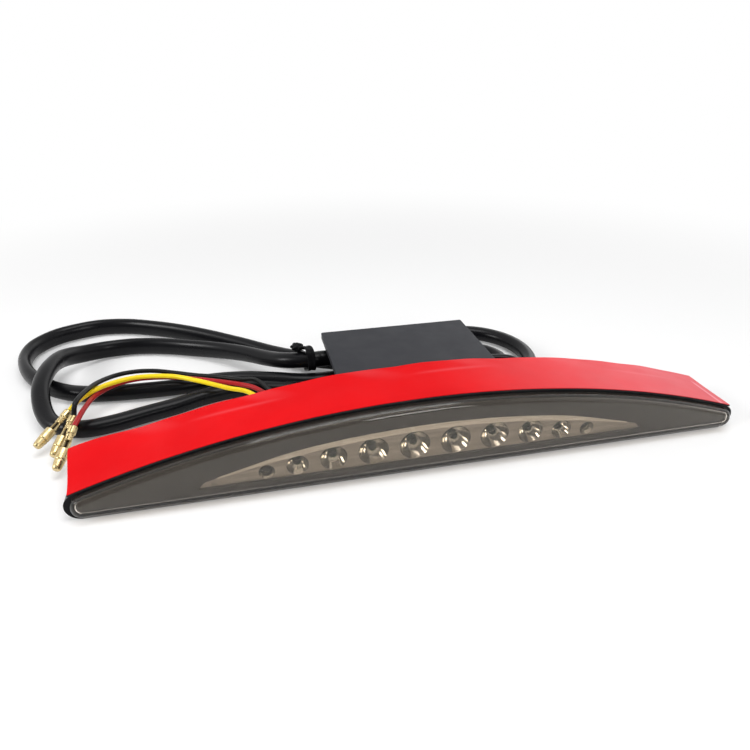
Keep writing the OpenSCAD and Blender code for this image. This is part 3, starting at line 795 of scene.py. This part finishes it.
CORES = (
    Core("yellow", FINISH.yellow, (0, -0.87, -0.5), (-134.5, 43.8, 10.8), (-10, -13, -6), (
        (-57, 42.6, 5.4), (-65, 48.8, 8), (-71.9, 50.7, 9.4), (-79.7, 53.7, 11), (-86.7, 57, 12),
        (-94.9, 61.7, 12.2), (-103.2, 64.1, 12.2), (-111.2, 64.6, 12.2), (-118.9, 62.4, 12.2),
        (-126.1, 58.4, 11.8), (-132, 51.1, 11.3))),
    Core("red", FINISH.red, (0, 0, 1), (-130, 29.7, 11.8), (-5, -17, -8.2), (
        (-55.5, 45.5, 6.4), (-61.5, 50.6, 8.4), (-67.6, 54.5, 8.8), (-76, 57.8, 9.4), (-84.2, 61.7, 9.4),
        (-94, 65.3, 9.6), (-103.9, 67.6, 9.6), (-112, 67.7, 9.6), (-119.8, 65.3, 9.4), (-126.4, 57.6, 9.6),
        (-128, 42.6, 12.4))),
    Core("black", FINISH.black, (0, 0.87, -0.5), (-132, 39.5, 10.5), (-6, -17, -7), (
        (-53.5, 48.5, 5.6), (-60.5, 55.4, 9.4), (-67.4, 56.7, 9.9), (-76.8, 61.7, 9.8), (-86.3, 65.8, 9.6),
        (-95.7, 70, 9.8), (-104.2, 73, 10.2), (-112.5, 73.9, 10.4), (-120.3, 71.4, 10.8),
        (-126.2, 61.2, 13.2), (-129.4, 48.9, 15.2), (-131, 41.6, 15))),
)


@dataclass
class Harness:
    """The folded supply lead, its cores with their terminals, the lamp lead and the tie. Millimetres."""

    sleeve_d: float = 7.2
    core_d: float = 2.0
    lamp_lead_d: float = 4.0
    flattened: float = 0.2
    port: Triple = (-27.0, 62.0, 13.4)
    lamp_exit: Triple = (56.0, 15.65, 13.5)
    lamp_port: Triple = (37.0, 44.5, 13.4)
    sleeve_end: Triple = (-46.0, 40.5, 3.8)
    rest_z: float = 3.8
    core_ring: float = 1.3

    def supply_route(self) -> Array:
        """Route of the supply lead: inner loop, inner right turn, outer loop, outer right turn, end."""
        p, z = np.array(self.port), self.rest_z
        inner_left = [
            (-46, 66.5, 12), (-54, 74.5, 10), (-64, 85.5, 8), (-76, 96.5, 5.5), (-90, 105.5, 4),
            (-104, 111.5, z), (-118, 114.5, z), (-131, 113.5, 4), (-141, 107.5, 5.5), (-147, 98.5, 8.5),
            (-149, 88.5, 11), (-150, 77.5, 12), (-150, 66.5, 10.5), (-148, 56.5, 7), (-144, 48.5, 4.5),
            (-138, 43.5, z), (-129, 40.5, z), (-118, 42.5, z), (-107, 46.5, z), (-95, 50.5, z),
            (-84, 55.5, z), (-72, 58.5, z), (-59, 57.5, z), (-44, 53.5, z), (-27, 49.5, z),
            (-9, 47.5, z), (9, 45.5, z), (27, 45, z)]
        outer_left = [
            (30, 71.5, z), (18, 66.5, z), (4, 62.5, z), (-10, 60.5, z), (-24, 59.5, z),
            (-38, 59.9, z), (-52, 64.5, z), (-66, 68.5, z), (-80, 69.5, z), (-95, 67.5, z),
            (-110, 67.5, z), (-125, 68.5, z), (-138, 71.5, z), (-148, 77.5, z), (-157, 86.5, z),
            (-164, 97.5, z), (-168, 110.5, z), (-167, 123.5, z), (-160, 134.5, z), (-150, 140.5, z),
            (-138, 143.5, z), (-124, 141.5, z), (-110, 135.5, z), (-96, 127.5, z), (-82, 117.5, z),
            (-70, 107.5, z), (-58, 96.5, 4.2), (-47, 86.5, 5.2), (-36, 78.5, 5.8), (-24, 73.5, 5.2),
            (-10, 71.5, 4.2), (5, 73.5, z), (18, 79.5, z), (30, 87.5, z)]
        end = [(26, 36.5, z), (8, 36.5, z), (-10, 37.5, z), (-24, 38.5, z), (-38, 40.5, z)]
        return np.vstack([
            p, p - (4, 0, 0), p - (8, 0, 0), inner_left, arc((42, 59.5, z), 14.4, -90, 90, 8),
            outer_left, arc((42, 66, z), 29.5, 90, -90, 10), end, self.sleeve_end])

    def lamp_route(self) -> Array:
        """Route of the lamp lead from its grommet to the module's right wall."""
        a, b = np.array(self.lamp_exit), np.array(self.lamp_port)
        middle = [(56, 26, 13.6), (55.6, 35, 13.6), (52, 42, 13.5)]
        return np.vstack([a, a + (0, 4, 0), middle, b + (8, 0, 0), b + (4, 0, 0), b])

    def core_route(self, core: Core) -> Array:
        """Route of one core from the sleeve's end, over the strands, to its crimp."""
        foot = np.array(self.sleeve_end) + self.core_ring * np.array(core.foot)
        return np.vstack([foot, foot - (3, 0, 0), core.middle, core.crimp])

    def build(self) -> None:
        """Makes the tie, the two sleeved leads, and each core with its terminal."""
        tie = CableTie().build()
        supply = Lead(
            "supply_sleeve", "supply_lead", self.supply_route(), self.sleeve_d, FINISH.sleeve, LeadKind.BARE,
            sides=28, steps=8, flattened=self.flattened)
        supply.build((tie,))
        lamp = Lead(
            "lamp_sleeve", "lamp_lead", self.lamp_route(), self.lamp_lead_d, FINISH.sleeve,
            LeadKind.INTO_OBJECT)
        lamp.build()
        for core in CORES:
            name = core.colour
            bullet = BulletTerminal(f"bullet_{name}", f"terminal_{name}", core.crimp, core.way).build()
            lead = Lead(
                f"core_{name}", f"wire_{name}", self.core_route(core), self.core_d, core.finish,
                LeadKind.CONNECTOR, sides=20)
            lead.build((bullet,))


@dataclass
class CableTie:
    """Ribbed ribbon round the two rear strands, slack over the front one, with its knotted end.

    Sizes are in millimetres. Slack and lean have places in degrees and spans in radians.
    """

    x: float = -35.4
    circles: tuple[Pair, ...] = ((62.3, 13.4), (77.1, 5.9), (79.9, 5.9))
    inner_r: float = 4.2
    width: float = 3.6
    thick: float = 1.0
    squareness: float = 0.45
    groove: float = 0.35
    groove_w: float = 0.7
    slack: float = 3.0
    slack_at: float = 112.0
    slack_span: float = 0.55
    lean: float = 4.0
    lean_at: float = 52.0
    lean_span: float = 0.9
    knot_at: Triple = (-41.0, 65.6, 18.8)
    knot_half: Triple = (2.6, 2.1, 1.8)
    turn: int = 360
    section: int = 40
    knot_grid: tuple[int, int] = (30, 48)

    def squared(self, v: Array) -> Array:
        """Sine or cosine drawn out towards a square wave by a power below 1."""
        return np.sign(v) * np.abs(v) ** self.squareness

    def strap(self) -> tuple[Array, Faces]:
        """Closed ribbon: support points of the circles' hull, moved out by an oblong section with a groove.

        Slack lifts the ribbon over the front strand and lean draws its rear part towards the knot, both
        as bell curves of the angle.

        Returns:
            Points and faces.
        """
        a = full_turn(self.turn)
        out = np.stack([np.cos(a), np.sin(a)], 1)
        centres = np.array(self.circles)
        off = np.angle(np.exp(1j * (a[:, None] - np.radians([self.slack_at, self.lean_at]))))
        rise = self.slack * bell(off[:, :1], self.slack_span)
        foot = centres[np.argmax(out @ centres.T, axis=1)] + (self.inner_r + rise) * out
        s = full_turn(self.section)
        side = self.squared(np.cos(s)) * self.width / 2
        lift = (self.squared(np.sin(s)) + 1) * self.thick / 2
        groove = self.groove * bell(side, self.groove_w) * np.sign(np.sin(s))
        yz = foot[:, None] + out[:, None] * (lift - groove)[None, :, None]
        x = self.x - self.lean * bell(off[:, 1:], self.lean_span) + side[None, :]
        points = np.concatenate([x[:, :, None], yz], -1)
        return points.reshape(-1, 3), grid_quads(self.turn, self.section, True, True)[:, ::-1].tolist()

    def knot(self) -> tuple[Array, Faces]:
        """Lumpy ball: an ellipsoid whose radius swells and shrinks with both angles, closed at both poles."""
        rows, cols = self.knot_grid
        u = np.linspace(-np.pi / 2, np.pi / 2, rows)[:, None]
        v = full_turn(cols)[None, :]
        r = 1 + (0.14 * np.sin(3 * v + 2 * u) + 0.1 * np.sin(5 * v - 4 * u)) * np.cos(u)
        ball = xyz(r * np.cos(u) * np.cos(v), r * np.cos(u) * np.sin(v), r * np.sin(u))
        points = np.array(self.knot_at) + ball * np.array(self.knot_half)
        return points.reshape(-1, 3), capped_faces(rows, cols)

    def build(self) -> Object:
        """Joins the ribbon and the knot in one piece."""
        p, f = self.strap()
        q, g = self.knot()
        faces = f + [[i + len(p) for i in face] for face in g]
        return add_piece("cable_tie_strap", np.vstack([p, q]), faces, FINISH.nylon, "cable_tie")


# Lamp


@dataclass
class LensShell:
    """Smoked lens with a flat front, a round shoulder and a straight skirt. Millimetres of the frame."""

    front_y: float = -14.75
    back_y: float = -8.35
    nose: Pair = (120.9, 5.8)
    nose_r: float = 4.9
    arch_r: float = 389.44
    arch_z: float = -359.24
    inset: float = 0.9
    wall: float = 1.8
    shoulder_r: float = 3.0
    margins: Pair = (0.4, 0.2)
    nose_steps: int = 44
    arch_steps: int = 220
    base_steps: int = 160
    round_steps: int = 15

    def outline(self) -> tuple[Array, Array]:
        """Outline of the opening: right nose, arch, left nose, and back along the base.

        Every arc is its centre plus its radius times a unit direction, which is also the way out.

        Returns:
            Points and ways out, both as rows of x and z.
        """
        x, z = self.nose
        tip = math.atan2(z - self.arch_z, x)
        arcs = (
            ((x, z), self.nose_r, -np.pi / 2, tip, self.nose_steps),
            ((0.0, self.arch_z), self.arch_r, tip, np.pi - tip, self.arch_steps),
            ((-x, z), self.nose_r, np.pi - tip, 1.5 * np.pi, self.nose_steps))
        points, ways = [], []
        for centre, radius, start, end, steps in arcs:
            a = np.linspace(start, end, steps)
            way = np.stack([np.cos(a), np.sin(a)], 1)[:-1]
            points.append(np.array(centre) + radius * way)
            ways.append(way)
        base = np.linspace(-x, x, self.base_steps)[:-1]
        points.append(np.stack([base, np.full_like(base, z - self.nose_r)], 1))
        ways.append(np.tile([0.0, -1.0], (len(base), 1)))
        return np.vstack(points), np.vstack(ways)

    def section(self) -> Array:
        """Insets and depths from the front over the shoulder to the skirt's edge, and back inside."""
        q = np.linspace(np.pi / 2, 0, self.round_steps)
        flat = self.inset + self.shoulder_r
        walls = []
        for deep in (0.0, self.wall):
            y, r = self.front_y + deep, self.shoulder_r - deep
            face = [(flat + margin, y) for margin in self.margins]
            walls.append(np.vstack([face, np.stack([flat - r * np.cos(q), y + r * (1 - np.sin(q))], 1)]))
        skirt = [(self.inset, self.back_y), (self.inset + self.wall, self.back_y)]
        return np.vstack([walls[0], skirt, walls[1][::-1]])

    def build(self) -> None:
        """Carries the section round the outline: a point moves in by the inset and back by the depth."""
        outline, way = self.outline()
        section = self.section()
        flat = outline[None] - section[:, :1, None] * way[None]
        points = xyz(flat[..., 0], section[:, 1:], flat[..., 1])
        faces = [face[::-1] for face in capped_faces(len(section), len(outline))]
        add_piece("lens_shell", points, faces, FINISH.lens, "lens", sharp=50.0)


@dataclass
class TapeFilm:
    """Red peel-off film on the foam, in millimetres.

    Waves are heights and lengths. Crease, band and fold end are shares of the width, and the painted
    highlight and sheen values are shares of the painted sheen colour.
    """

    arch_r: float = 388.421
    arch_z: float = -358.221
    rim_y: float = -10.75
    tape_w: float = 25.5
    tape_half: float = 125.2
    inner: float = 0.58
    thick: float = 0.25
    front_gap: float = 0.05
    back_gap: float = 0.3
    curl: float = 2.6
    curl_l: float = 34.0
    curl_out: float = 3.2
    carried: Pair = (0.55, 0.45)
    broad_wave: Pair = (0.10, 9.5)
    fine_wave: Pair = (0.06, 4.1)
    edge_waves: tuple[Pair, Pair] = ((0.22, 7.3), (0.14, 3.1))
    edge_band: float = 0.9
    fold_in: float = 2.4
    fold_w: float = 0.8
    fold_end: float = 0.9
    crease_v: float = 0.7
    crease_w: float = 0.035
    # Shares of painted highlight and painted sheen on the film's top.
    painted_fold_highlight: float = 0.75
    painted_right_sheen: float = 0.24
    painted_crease_highlight: float = 0.07
    painted_ripple_sheen: float = 0.05
    grid: tuple[int, int] = (300, 56)

    def pale(self, s: Array, v: Array, free: Array) -> Array:
        """Share of the painted sheen colour: painted highlights on the right end's fold, on creases and on
        ripples, and painted sheen that grows to the right.

        Args:
            s: Distances along the arch from the middle.
            v: Shares of the width from the front.
            free: How freely the film hangs, from 0 to 1.

        Returns:
            Shares, one for each point of the grid.
        """
        fold = self.painted_fold_highlight * bell(self.tape_half - s - self.fold_in + 0.8 * v, self.fold_w)
        fold = fold * smooth_step((self.fold_end - v) / 0.3)
        crease = bell(v - self.crease_v - 0.05 * np.sin(s / 23), self.crease_w)
        crease = crease * smooth_step(np.sin(s / 13 + 0.6) * 0.9)
        ripple = smooth_step(np.sin(s / 6.5 + 5 * v) - 0.2) * free
        right = self.painted_right_sheen * smooth_step(s / self.tape_half)
        return np.maximum(fold, right + self.painted_crease_highlight * crease + self.painted_ripple_sheen * ripple)

    def build(self) -> None:
        """Makes a thin closed band over the foam.

        Its section runs along the width on top and back underneath. It is carried round the arch, lifted
        by low waves that grow towards the free back edge, and the back edge itself is wavy. The rear
        corner of the left end curls up and stands out further.
        """
        r0 = self.arch_r + self.inner
        end = math.asin(self.tape_half / (r0 + self.thick))
        rows, cols = self.grid
        a = np.linspace(-end, end, rows)[:, None]
        v = np.linspace(0, 1, cols)[None, :]
        s = a * r0
        left = smooth_step((-s - self.tape_half + self.curl_l) / self.curl_l)
        free = smooth_step((v - self.carried[0]) / self.carried[1])
        (broad_h, broad_l), (fine_h, fine_l) = self.broad_wave, self.fine_wave
        broad = broad_h * (1 + np.sin(s / broad_l + 1.3 * np.sin(s / 31)))
        wave = broad + fine_h * (1 + np.sin(s / fine_l + 2 * v))
        lift = 0.02 + wave * (0.12 + 0.88 * free) + self.curl * left**2 * smooth_step(v)
        turn = a - self.curl_out / r0 * left**4 * v
        (long_h, long_l), (short_h, short_l) = self.edge_waves
        edge = long_h * np.sin(s / long_l) + short_h * np.sin(s / short_l + 1.0)
        rear = smooth_step((v - self.edge_band) / 0.1) * (v > self.edge_band)
        y = self.rim_y + self.front_gap + v * (self.tape_w - self.back_gap) + edge * rear
        sheets = []
        for r in (r0 + lift + self.thick, r0 + lift):
            sheets.append(xyz(r * np.sin(turn), y, self.arch_z + r * np.cos(turn)))
        points = np.concatenate([sheets[0], sheets[1][:, ::-1]], 1)
        # Painted highlight and sheen on the top sheet, none underneath.
        pale = self.pale(s, v, free)
        painted_light = np.concatenate([pale, np.zeros_like(pale)], 1)
        faces = capped_faces(rows, 2 * cols)
        add_piece("tape_film", points, faces, FINISH.film, "tape_liner", painted_light=painted_light)


@dataclass
class LampBody:
    """Arched housing with its lens, bezel, board and tape."""

    lens: LensShell
    film: TapeFilm

    def build(self) -> None:
        """Dresses the solids of the lamp and makes the lens and the film."""
        self.lens.build()
        dress(
            housing=FINISH.housing, lens_seal=FINISH.sealant, bezel=FINISH.bezel, tape_foam=FINISH.foam,
            cable_grommet=FINISH.seal, circuit_board=FINISH.board, resistors=FINISH.chip,
            board_screws=FINISH.screw)
        self.film.build()


@dataclass(frozen=True)
class Bowl:
    """One bowl of the reflector: its place, its diameter and the uprights round its cell. Millimetres."""

    x: float
    z: float
    d: float
    left: float
    right: float


@dataclass
class Reflector:
    """Metallised plate with ten graded bowls, a raised top ledge and an LED in each bowl. Millimetres.

    The ledge's section is made of heights over the window's top and distances before the plate.
    """

    plate_y: float = -10.35
    window_w: float = 169.0
    window_z: float = 5.9
    window_top: float = 18.9
    window_r: float = 335.0
    slant: float = 0.9
    margin: float = 0.45
    ledge_up: float = 1.6
    ledge_down: float = 0.75
    ledge_out: float = 1.25
    ledge_end: float = 7.0
    ledge_rows: int = 160
    bowls: int = 5
    mid_d: float = 11.5
    end_d: float = 5.6
    land: float = 4.0
    ratio: float = 0.82
    hole_r: float = 1.7
    base_gap: float = 0.2
    rim_h: float = 0.12
    rim_w: float = 0.35
    cell_rings: tuple[float, ...] = (0.0, 0.03, 0.08, 0.5, 1.0)
    cell_sides: int = 240
    bowl_grid: tuple[int, int] = (26, 72)
    far: float = 1e3
    least_fall: float = 1e-9

    def places(self) -> list[Bowl]:
        """Bowls from left to right: diameters fall off as a quarter cosine, and cells meet midway."""
        i = np.arange(self.bowls)
        d = self.end_d + (self.mid_d - self.end_d) * np.cos(np.pi / 2 * i / (self.bowls - 1))
        gaps = (d[:-1] + d[1:]) / 2 + self.land
        x = (d[0] + self.land) / 2 + np.concatenate([[0], np.cumsum(gaps)])
        z = self.window_z + self.base_gap + d / 2
        x, z, d = np.hstack([-x[::-1], x]), np.hstack([z[::-1], z]), np.hstack([d[::-1], d])
        cuts = np.hstack([-self.far, (x[:-1] + x[1:]) / 2, self.far])
        return [Bowl(*each) for each in np.stack([x, z, d, cuts[:-1], cuts[1:]], 1).tolist()]

    def reach(self, bowl: Bowl, a: Array) -> Array:
        """Distance from a bowl's centre to the edge of its cell along each angle.

        The cell is cut from the window by two uprights; the distance is the least of those to the
        uprights, the base, the slanted ends and the arched top.

        Args:
            bowl: The bowl.
            a: Angles.

        Returns:
            Distances.
        """
        x, m = bowl.x, self.margin
        c, s = np.cos(a), np.sin(a)
        up = bowl.z - self.window_z + m
        walls = [(c, bowl.right - x), (-c, x - bowl.left), (-s, up)]
        n = math.hypot(1, self.slant)
        for side in (1, -1):
            room = self.window_w / 2 + m - side * x - self.slant * up
            walls.append(((side * c + self.slant * s) / n, room / n))
        best = np.full_like(a, self.far)
        for fall, room in walls:
            nearer = np.minimum(best, room / np.maximum(fall, self.least_fall))
            best = np.where(fall > self.least_fall, nearer, best)
        dz = bowl.z - (self.window_top - self.window_r)
        b = x * c + dz * s
        arch = -b + np.sqrt(b * b - (x * x + dz * dz - (self.window_r + m) ** 2))
        return np.minimum(best, arch)

    def cell(self, bowl: Bowl) -> Array:
        """Points of a cell of the plate: rings from the bowl's rim, which is raised, to the cell's edge."""
        a = full_turn(self.cell_sides)
        rim = bowl.d / 2
        r = rim + (self.reach(bowl, a)[None, :] - rim) * np.array(self.cell_rings)[:, None]
        y = self.plate_y - self.rim_h * bell(r - rim, self.rim_w)
        return xyz(bowl.x + r * np.cos(a), y, bowl.z + r * np.sin(a)).reshape(-1, 3)

    def plate(self) -> None:
        """Joins the cells in one plate."""
        points = [self.cell(bowl) for bowl in self.places()]
        quads = grid_quads(len(self.cell_rings), self.cell_sides, wrap_cols=True)
        faces = np.vstack([quads + k * len(points[0]) for k in range(len(points))]).tolist()
        add_piece("reflector_plate", np.vstack(points), faces, FINISH.plate, "reflector")

    def bowl(self, k: int, bowl: Bowl) -> None:
        """Makes bowl k: a paraboloid whose squared radius grows evenly from the LED hole to the rim."""
        rows, cols = self.bowl_grid
        t = np.linspace(0, 1, rows)[:, None]
        a = full_turn(cols)[None, :]
        r = np.sqrt(self.hole_r**2 + ((bowl.d / 2) ** 2 - self.hole_r**2) * t)
        y = self.plate_y - self.rim_h + (self.ratio * bowl.d / 2 + self.rim_h) * (1 - t)
        points = xyz(bowl.x + r * np.cos(a), y, bowl.z + r * np.sin(a))
        faces = grid_quads(rows, cols, wrap_cols=True)[:, ::-1].tolist()
        add_piece(f"reflector_bowl_{k}", points, faces, FINISH.bowl)

    def top_ledge(self) -> None:
        """Raised bead along the top: a rounded section that laps over the bezel, carried along the arch."""
        end = math.asin((self.window_w / 2 - self.ledge_end) / self.window_r)
        a = np.linspace(-end, end, self.ledge_rows)[:, None]
        taper = smooth_step((end - np.abs(a)) / (0.4 * end))
        up, down, out = self.ledge_up, self.ledge_down, self.ledge_out
        section = np.array([
            (up, 1.02), (up - 0.05, 1.2), (up - 0.3, out - 0.08), (0.6 - down, out),
            (0.35 - down, out + 0.12), (0.2 - down, out), (0.04 - down, 0.95), (-down, 0.5), (-down, 0.05),
            (-0.2, 0.03)])
        r = self.window_r + section[:, 0][None, :] * (0.2 + 0.8 * taper)
        y = self.plate_y - section[:, 1][None, :]
        points = xyz(r * np.sin(a), y, self.window_top - self.window_r + r * np.cos(a))
        add_piece("reflector_ledge", points, capped_faces(len(a), len(section)), FINISH.ledge)

    def build(self) -> None:
        """Makes the plate, its bowls and its ledge, and dresses the LEDs."""
        self.plate()
        self.top_ledge()
        for k, bowl in enumerate(self.places(), 1):
            self.bowl(k, bowl)
            dress(**{f"led_{k}": FINISH.led})


@dataclass
class ControlModule:
    """Case with an overhanging cover plate and its inner parts. Millimetres."""

    low: Triple = (-29.0, 27.5, 19.0)
    high: Triple = (39.0, 71.5, 22.0)
    corner: float = 0.9
    edge: float = 0.35
    edge_steps: int = 7
    sides: int = 64

    def cover(self) -> None:
        """Cover plate: a rounded oblong carried up an edge section with small rounds at both faces."""
        q = np.linspace(0, np.pi / 2, self.edge_steps)
        up = -np.cos(q) * self.edge + self.edge
        inset = self.edge * (1 - np.sin(q))
        z = np.concatenate([self.low[2] + up, self.high[2] - up[::-1]])
        r = self.corner - np.concatenate([inset, inset[::-1]])[:, None]
        a = full_turn(self.sides) + np.pi / self.sides
        cx = np.where(np.cos(a) > 0, self.high[0] - self.corner, self.low[0] + self.corner)
        cy = np.where(np.sin(a) > 0, self.high[1] - self.corner, self.low[1] + self.corner)
        points = xyz(cx + r * np.cos(a), cy + r * np.sin(a), z[:, None])
        faces = capped_faces(len(z), self.sides)
        add_piece("cover_plate", points, faces, FINISH.cover, "module_cover", sharp=25.0)

    def build(self) -> None:
        """Makes the cover and dresses the other solids of the module."""
        self.cover()
        dress(
            module_case=FINISH.housing, module_board=FINISH.board, module_chip=FINISH.chip,
            module_diodes=FINISH.chip, module_capacitor=FINISH.capacitor, lamp_grommet=FINISH.seal,
            supply_grommet=FINISH.seal)


def main() -> None:
    """Builds the studio, the leads, the lamp, the reflector and the module in order."""
    logging.basicConfig(level=logging.INFO, format="%(name)s %(message)s")
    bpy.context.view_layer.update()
    Studio().build()
    Harness().build()
    LampBody(LensShell(), TapeFilm()).build()
    Reflector().build()
    ControlModule().build()


if __name__ == "__main__":
    main()
